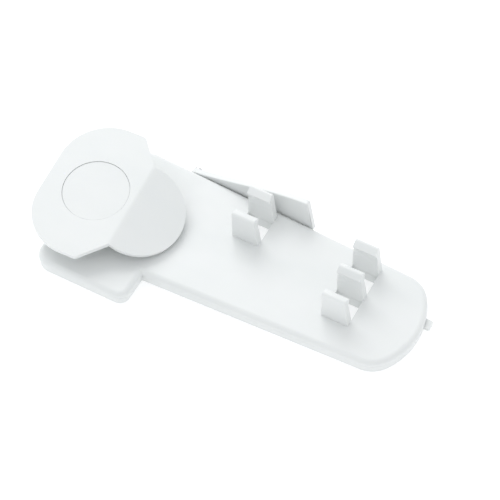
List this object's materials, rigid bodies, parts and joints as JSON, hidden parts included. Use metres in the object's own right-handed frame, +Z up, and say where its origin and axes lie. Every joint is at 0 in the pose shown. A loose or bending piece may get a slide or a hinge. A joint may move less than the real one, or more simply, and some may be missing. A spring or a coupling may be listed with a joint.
{
  "type": "stair gate latch",
  "caption": "Flat two-shell latch case with snap clips for round bars, a thumb-turn knob that draws a sprung bolt through a pinion and rack, and a sprung side catch.",
  "frame": {"origin": "middle of the case at its flat underside, on the case's long centre line", "axes": "+X along the case from the knob to the rounded tip, +Y across it towards the side catch, +Z up out of the clips"},
  "size_m": [0.1458, 0.0635, 0.0194],
  "materials": {
    "case_plastic": "satin-gloss moulded white plastic",
    "knob_plastic": "satin-gloss moulded white plastic, fine moulding texture",
    "nylon": "natural nylon, matte",
    "zinc_steel": "bright zinc plate",
    "spring_steel": "drawn spring wire",
    "bright_steel": "blanked and tumbled steel"
  },
  "bodies": {
    "case": {"top_plate": "case_plastic", "base_cover": "case_plastic", "cover_screws": "zinc_steel", "shaft_bush": "nylon", "thrust_washer": "nylon", "bolt_spring": "spring_steel", "spring_pin": "bright_steel", "catch_pin": "bright_steel", "pin_clip": "spring_steel", "catch_spring": "spring_steel"},
    "knob": {"turn_knob": "knob_plastic", "knob_cap": "knob_plastic", "knob_screw": "zinc_steel", "screw_washer": "zinc_steel", "drive_pinion": "nylon", "wave_washer": "spring_steel"},
    "bolt": {"rack_slide": "nylon", "bolt_tongue": "bright_steel", "bolt_rivets": "bright_steel"},
    "catch": {"side_catch": "knob_plastic"}
  },
  "joints": [
    {"name": "knob_turn", "type": "hinge", "parent": "case", "child": "knob", "pos_m": [-0.0585, -0.0067, 0.006], "axis": [0, 0, -1], "range_deg": [0, 90], "stiffness_Nm_per_rad": 0.0072, "springref_deg": -57.3},
    {"name": "bolt_slide", "type": "slide", "parent": "case", "child": "bolt", "axis": [1, 0, 0], "range_m": [0, 0.0078], "deforming": ["bolt_spring"]},
    {"name": "catch_press", "type": "hinge", "parent": "case", "child": "catch", "pos_m": [-0.036, 0.02391, 0.0023], "axis": [0.0419, 0.9991, 0], "range_deg": [0, 3.3], "stiffness_Nm_per_rad": 0.5, "springref_deg": -2.86, "deforming": ["catch_spring"]}
  ],
  "couplings": [
    {"joint": "bolt_slide", "follows": "knob_turn", "m_per_rad": 0.0049}
  ]
}
